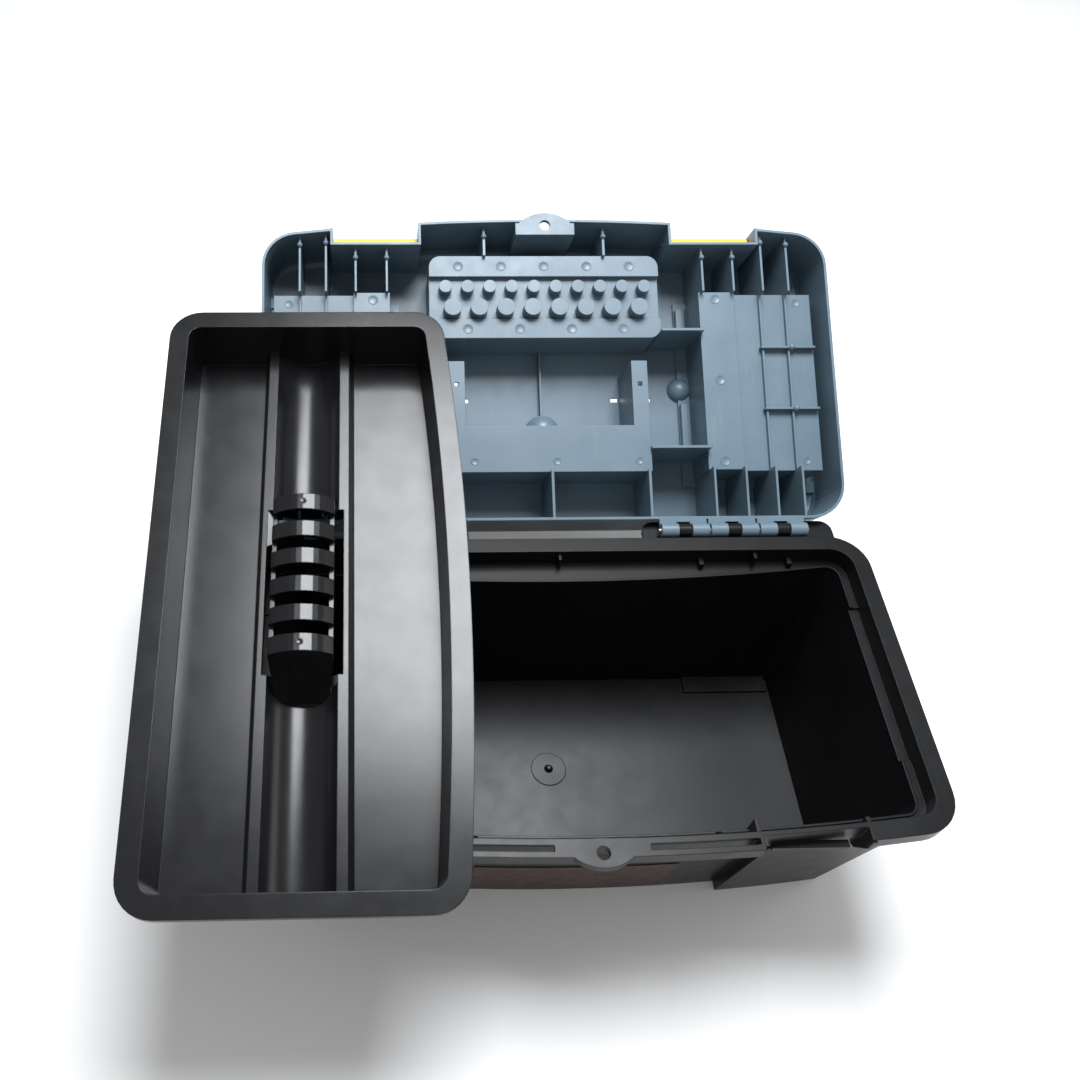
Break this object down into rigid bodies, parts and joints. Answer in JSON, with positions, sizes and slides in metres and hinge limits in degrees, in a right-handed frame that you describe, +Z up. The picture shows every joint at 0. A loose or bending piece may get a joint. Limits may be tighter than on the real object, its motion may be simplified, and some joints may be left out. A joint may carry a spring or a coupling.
{
  "type": "toolbox with tray",
  "caption": "Plastic hand toolbox with a deep tub, a hinged lid with covered organisers and a bit holder, a folding handle, latches and a lift-out tray",
  "frame": {"origin": "the middle of the tub's flat underside, on the floor it stands on, midway between its ends", "axes": "+Z up, +X to the right as seen from the front, +Y from the front to the hinges"},
  "size_m": [0.4495, 0.4782, 0.2376],
  "materials": {
    "tub_plastic": "black polypropylene, satin outside, smoother inside",
    "tray_plastic": "black polypropylene, glossy",
    "lid_plastic": "blue-grey polypropylene, satin",
    "fitting_plastic": "yellow plastic, satin",
    "cover_plastic": "pale smooth plastic",
    "pin_steel": "bright drawn wire",
    "label_film": "blank dull red-brown label"
  },
  "bodies": {
    "tub": {"base_tub": "tub_plastic", "front_label": "label_film", "hinge_pin_left": "pin_steel", "hinge_pin_right": "pin_steel"},
    "lid": {"lid_shell": "lid_plastic", "latch_pin_left": "pin_steel", "latch_pin_right": "pin_steel"},
    "latch_left": {"latch_left": "fitting_plastic"},
    "latch_right": {"latch_right": "fitting_plastic"},
    "handle": {"carry_handle": "fitting_plastic"},
    "cover_left": {"organiser_cover_left": "cover_plastic"},
    "cover_right": {"organiser_cover_right": "cover_plastic"},
    "tray": {"tray": "tray_plastic"}
  },
  "joints": [
    {"name": "lid_hinge", "type": "hinge", "parent": "tub", "child": "lid", "pos_m": [0, 0.108, 0.1355], "axis": [-1, 0, 0], "range_deg": [-152.5, 0]},
    {"name": "latch_left_pivot", "type": "hinge", "parent": "lid", "child": "latch_left", "pos_m": [-0.1175, 0.3031, 0.21508], "axis": [-1, 0, 0], "range_deg": [-165, 0]},
    {"name": "latch_right_pivot", "type": "hinge", "parent": "lid", "child": "latch_right", "pos_m": [0.1175, 0.3031, 0.21508], "axis": [-1, 0, 0], "range_deg": [-165, 0]},
    {"name": "handle_pivot", "type": "hinge", "parent": "lid", "child": "handle", "pos_m": [0, 0.21895, 0.1476], "axis": [1, 0, 0], "range_deg": [-61, 30]},
    {"name": "cover_left_hinge", "type": "hinge", "parent": "lid", "child": "cover_left", "pos_m": [-0.188, 0.22616, 0.14132], "axis": [0, 0.887, 0.4618], "range_deg": [0, 110]},
    {"name": "cover_right_hinge", "type": "hinge", "parent": "lid", "child": "cover_right", "pos_m": [0.188, 0.22616, 0.14132], "axis": [0, -0.887, -0.4618], "range_deg": [0, 110]},
    {"name": "tray_lift", "type": "slide", "parent": "tub", "child": "tray", "axis": [0, -0.7071, 0.7071], "range_m": [0, 0.5]}
  ],
  "couplings": [
    {"joint": "tray_lift", "follows": "lid_hinge", "m_per_rad": -0.18785}
  ]
}
